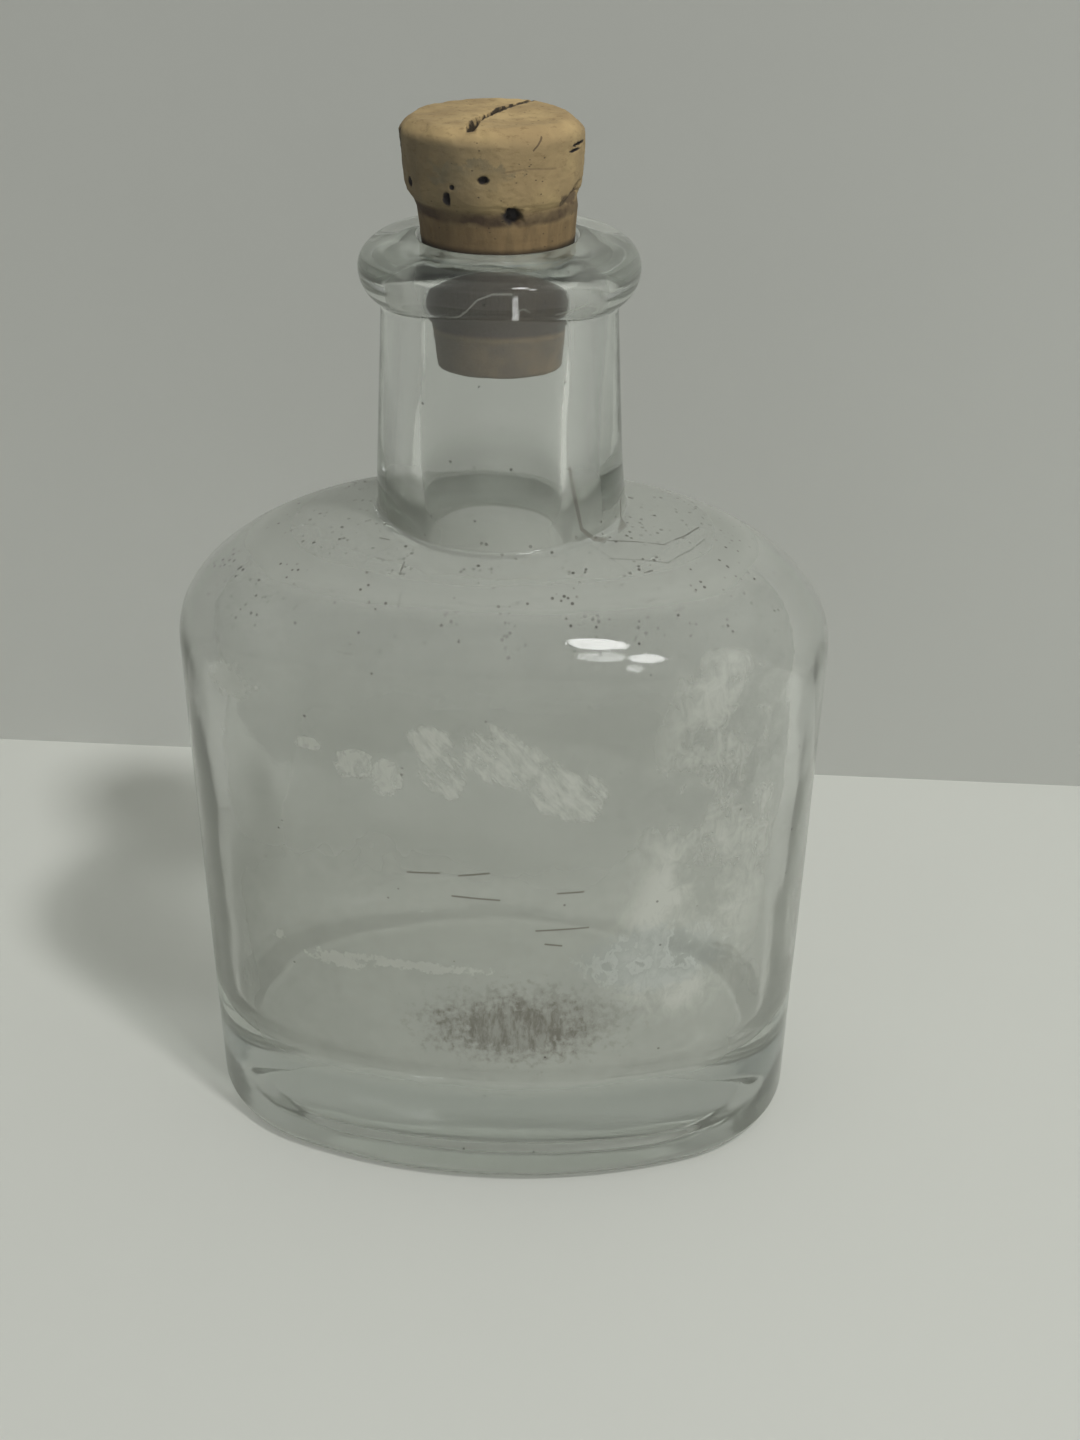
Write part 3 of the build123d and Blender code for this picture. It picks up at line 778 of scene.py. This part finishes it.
def glass_finish():
    """Clear old glass, faintly grey-green in its depth, with haze, residue and scratches on its skin,
    painted glints low on the chamber and painted shade along the fold at the neck's root. It lets the
    lamps' light through to the floor, more in the chamber than at the rims."""
    f = Finish("old_clear_glass")
    front = (f.y + FRONT_DEPTH - f.x * f.x / FRONT_CURVE).rise(1.3, 0.7)
    outer = (f.x * f.x + f.y * f.y).rise(*PAST_BORE)
    fibres = f.noise(1.1, 4.0, 0.62, 0.6, place=f.stretched(1.0, 1.0, 0.6))
    broad = f.noise(7.0, 3.0)
    film_waves = abs(broad - 0.5 + 0.25 * (fibres - 0.5)).rise(0.03, 0.008)
    wrinkled = f.spot(f.x, f.z, *WRINKLED_FILM, 0.5)
    lip_lines = f.strokes(f.arc(LIP_MARK_RADIUS), f.z, LIP_MARKS, 0.11) * f.z.rise(79.4, 80.0) * outer
    pale = pale_residue_and_glints(f, fibres, broad) * front + 0.25 * wrinkled * film_waves * front + 0.3 * lip_lines
    dashes = f.strokes(f.x, f.z, DASHES, 0.12)
    specks = shoulder_specks(f, fibres, outer)
    # Dark marks: the brown stain, dashes, specks and cracks of dirt, and painted shade along the fold at
    # the neck's root
    dark_marks_and_shade = (brown_stain(f) * 0.8 + dashes * 0.7) * front + specks * 0.75 + 0.45 * fold_shade(f, outer)
    # Darker at the very foot, below 2.4 mm
    dark_marks_and_shade = dark_marks_and_shade + 0.1 * f.z.rise(2.4, 1.2)

    clear = f.shader(
        Base_Color=(*CLEAR, 1.0),
        Roughness=0.035,
        IOR=1.5,
        Transmission_Weight=1.0,
        Normal=f.bump(fibres, 0.07, 0.1 * MM),
    )
    # The dried film's colour paints the pale marks and the painted glints
    film_colour = f.colours(pale.least(1.0), FILM, DRIED_FILM_AND_GLINTS)
    film_colour = f.colours(wrinkled * front * 0.5, film_colour, GREEN_FILM)
    film = f.shader(Base_Color=film_colour, Roughness=0.9)
    # The dark shader paints the dirt, and the painted shade along the fold
    dirt = f.shader(Base_Color=f.colours(specks, DIRT_AND_SHADE, BLACK_DIRT), Roughness=0.9)
    hazed = f.mix((old_glass_haze(f, broad) + pale).least(0.9), clear, film)
    surface = f.mix(dark_marks_and_shade.least(0.9), hazed, dirt)
    shadow_ray = f.add("ShaderNodeLightPath", output="Is Shadow Ray")
    chamber = f.z.rise(12.0, 18.0) * f.z.rise(52.0, 42.0) * abs(f.x).rise(27.0, 19.0)
    passed_on = shadow_ray * (SHADOW_LIGHT + CHAMBER_LIGHT * chamber)
    lit = f.mix(passed_on, surface, f.add("ShaderNodeBsdfTransparent"))
    inputs = {"Color": (*GLASS_DEPTH, 1.0), "Density": GLASS_DENSITY}
    return f.done(lit, f.add("ShaderNodeVolumeAbsorption", inputs=inputs))


def cork_head_colour(f, left, side, flecks, patchy):
    """Mottled tan, darker down the side, grey painted shade where it faces left, brown where the mouth
    squeezed it.
    """
    tan = f.colours(f.noise(4.0, 3.0).rise(0.35, 0.65), DARK_TAN, LIGHT_TAN)
    mottled = f.colours(flecks * 0.6, tan, FLECK)
    worn = f.colours(side * 0.45, mottled, DARKER_SIDE)
    grey = f.colours((left * 0.82).least(0.88), worn, LEFT_SIDE_SHADE)
    squeezed = (f.z + 1.4 * (f.noise(2.0, 3.0) - 0.5)).rise(86.3, 86.9) * f.z.rise(88.0, 87.4)
    return f.colours(squeezed * (0.6 + 0.35 * patchy), grey, SQUEEZED)


def cork_plug_colour(f, left):
    """Warm brown with upright streaks, and painted shade on the side that faces left."""
    streaks = f.noise(0.8, 3.0, place=f.stretched(1.0, 1.0, 0.3)).rise(0.4, 0.65)
    warm = f.colours(streaks * 0.5, PLUG, PLUG_STREAK)
    return f.colours((left * 0.6).least(0.7), warm, PLUG_LEFT_SHADE)


def cork_pores_and_pit_shade(f, arc):
    """Small dark pores here and there, and painted shade in the pits of the mesh."""
    pores = f.cells(0.75, f.stretched(1.0, 1.0, 1.6)).rise(0.15, 0.07) * f.noise(2.5).rise(0.48, 0.58)
    pits = pores * 0.7
    for around, height, half_width, half_height, _ in CORK_PITS:
        middle, half_size = (around * CORK_MARK_RADIUS, height / MM), (half_width / MM, half_height / MM)
        pits = pits.most(f.spot(arc, f.z, middle, half_size))
    return pits


def cork_split_shade(f, shift):
    """Painted shade: the dark ragged bottom of the split across the top."""
    offset, slope, bow = SPLIT_BOW
    split_x = f.x - (offset / MM + shift) - slope * f.y - bow * MM * f.y * f.y
    ragged = abs(split_x) + 0.5 * (f.noise(0.5, 3.0) - 0.5)
    return ragged.rise(0.5, 0.36) * f.z.rise(93.0, 93.3) * f.y.rise(6.5, 5.5) * f.y.rise(-6.6, -6.0)


def cork_finish():
    """Worn natural cork: tan, greyer and darker on the side that faces left as painted shade, brown where
    the mouth squeezes it, nearly black inside the lip as painted shade, with dark pores, fine cracks, and
    pits and a split across its top painted dark as shade in them."""
    f = Finish("natural_cork")
    shift = (CORK_SHIFT + CORK_HEAD_SHIFT - math.tan(CORK_LEAN) * (CORK_TOP - CORK_FOOT) * 0.85) / MM
    arc = f.arc(CORK_MARK_RADIUS, shift)
    side = f.z.rise(93.9, 92.7)
    # Painted shade: the side that faces left, away from the lamps, turns grey and dark, a little unevenly,
    # the plug too
    left = (0 - f.x).rise(-2.5, 4.5) * side * (0.6 + 0.6 * f.noise(2.4, 3.0))
    left = left.most((0 - f.x).rise(0.0, 8.0) * 0.3)
    flecks = f.noise(0.5, 4.0, 0.7, place=f.stretched(0.6, 0.6, 1.3)).rise(0.52, 0.72)
    patchy = f.noise(3.0, 3.0).rise(0.4, 0.6)
    head = cork_head_colour(f, left, side, flecks, patchy)
    colour = f.colours(f.z.rise(86.9, 86.3) * 0.85, head, cork_plug_colour(f, left))
    # Painted shade: the plug turns nearly black where the glass lip surrounds it
    colour = f.colours(f.z.rise(77.2, 77.9) * f.z.rise(84.9, 84.3) * 0.88, colour, IN_LIP_SHADE)
    colour = f.colours(f.z.rise(77.7, 77.1) * (0.5 + 0.3 * patchy), colour, BELOW_LIP)
    smudge = f.spot(arc, f.z, (-1.4, 90.7), (3.6, 1.2), 1.2) * (0.2 + 0.5 * patchy)
    colour = f.colours(smudge, colour, SMUDGE)
    torn = f.spot(arc, f.z, (9.2, 88.2), (2.2, 0.7), 0.8) * 0.75
    cracks = f.stroke(arc, f.z, [(4.0, 92.6), (4.9, 93.5)], 0.1) * 0.7
    cracks = cracks.most(f.stroke(arc, f.z, [(1.4, 91.0), (3.6, 91.2), (6.2, 91.0)], 0.12) * (0.6 * f.grit))
    colour = f.colours(torn.most(cracks), colour, TORN)
    pits = cork_pores_and_pit_shade(f, arc)
    # Dark pores, and painted shade in the pits and in the split
    colour = f.colours(pits.most(cork_split_shade(f, shift) * 0.9), colour, PORE_AND_PIT_SHADE)
    height = f.noise(0.35, 5.0, 0.65) - 0.6 * pits - 0.4 * cracks
    normal = f.bump(height, 0.5, 0.12 * MM)
    return f.done(f.shader(Base_Color=colour, Roughness=0.78 + 0.15 * flecks, Normal=normal))


def paper_finish(name, colour, see_through_back=False):
    """Plain pale paper, with a little random tone, and darker higher up as painted shade. The backdrop's
    back is clear, so that the flask can be looked at from behind it."""
    f = Finish(name)
    # Painted shade: darker higher up; the noise gives a little random tone
    darker = f.noise(40.0, 2.0) * 0.2 + 0.8 * f.z.rise(*PAPER_SHADE_Z)
    shade = tuple(PAPER_SHADE * part for part in colour)
    paper = f.shader(Base_Color=f.colours(darker, colour, shade), Roughness=0.9)
    if not see_through_back:
        return f.done(paper)
    behind = f.add("ShaderNodeNewGeometry", output="Backfacing")
    return f.done(f.mix(behind, paper, f.add("ShaderNodeBsdfTransparent")))


def sheet_of_paper(name, corners, material):
    """A flat stage piece through four corners, which run anticlockwise on the side that it faces."""
    mesh = bpy.data.meshes.new(name)
    mesh.from_pydata(corners, [], [(0, 1, 2, 3)])
    mesh.materials.append(material)
    piece = bpy.data.objects.new(name, mesh)
    bpy.context.scene.collection.objects.link(piece)


def lamp(name, around, up, size, power):
    """An elliptical lamp that shines at the flask, at an angle round from the front and an angle up."""
    data = bpy.data.lights.new(name, "AREA")
    data.shape, data.energy = "ELLIPSE", power
    data.size, data.size_y = size
    holder = bpy.data.objects.new(name, data)
    reach = LAMP_DISTANCE * math.cos(up)
    holder.location = (reach * math.sin(around), -reach * math.cos(around), LAMP_DISTANCE * math.sin(up))
    holder.rotation_euler = (math.pi / 2 - up, 0, around)
    bpy.context.scene.collection.objects.link(holder)
    return holder


def studio():
    """A pale floor, a pale backdrop close behind the flask, the lamps and an even light from all round.
    The mirrored lamps light no matt surface, and the soft lamp isn't mirrored."""
    half, low = FLOOR_HALF, -FLOOR_GAP
    sheet_of_paper(
        "floor", [(-half, -half, low), (half, -half, low), (half, half, low), (-half, half, low)],
        paper_finish("floor_paper", FLOOR_COLOUR),
    )
    turn = Matrix.Rotation(-WALL_TURN, 3, "Z")
    ends = [turn @ Matrix.Identity(3).row[0] * side for side in (-WALL_HALF, WALL_HALF)]
    left, right = [(end[X], end[Y] + WALL_DISTANCE) for end in ends]
    sheet_of_paper(
        "backdrop", [(*left, low), (*right, low), (*right, WALL_HEIGHT), (*left, WALL_HEIGHT)],
        paper_finish("backdrop_paper", WALL_COLOUR, True),
    )
    key = lamp("soft_lamp", KEY_AROUND, KEY_UP, (KEY_SIZE, KEY_SIZE), KEY_POWER)
    key.visible_glossy = key.visible_transmission = False
    for number, glint in enumerate(GLINTS):
        lamp(f"mirrored_lamp_{number}", *glint).visible_diffuse = False
    world = bpy.data.worlds.new("even_room_light")
    world.use_nodes = True
    world.node_tree.nodes["Background"].inputs["Color"].default_value = (*ROOM_LIGHT, 1.0)
    bpy.context.scene.world = world


def camera():
    """The photograph's camera: its place, its tilt down at the flask and its slight roll."""
    data = bpy.data.cameras.new("camera")
    data.lens, data.sensor_width = CAMERA_LENS, CAMERA_SENSOR
    data.clip_start, data.clip_end = 5 * MM, 20.0
    holder = bpy.data.objects.new("camera", data)
    look = Matrix.Rotation(CAMERA_TURN, 4, "Z") @ Matrix.Rotation(math.pi / 2 - CAMERA_DOWN, 4, "X")
    holder.matrix_world = Matrix.Translation(CAMERA_PLACE) @ look @ Matrix.Rotation(CAMERA_ROLL, 4, "Z")
    bpy.context.scene.collection.objects.link(holder)
    bpy.context.scene.camera = holder


flask_glass().data.materials.append(glass_finish())
worn_cork().data.materials.append(cork_finish())
studio()
camera()
bpy.context.scene.view_settings.view_transform = "Standard"

bpy.context.view_layer.update()
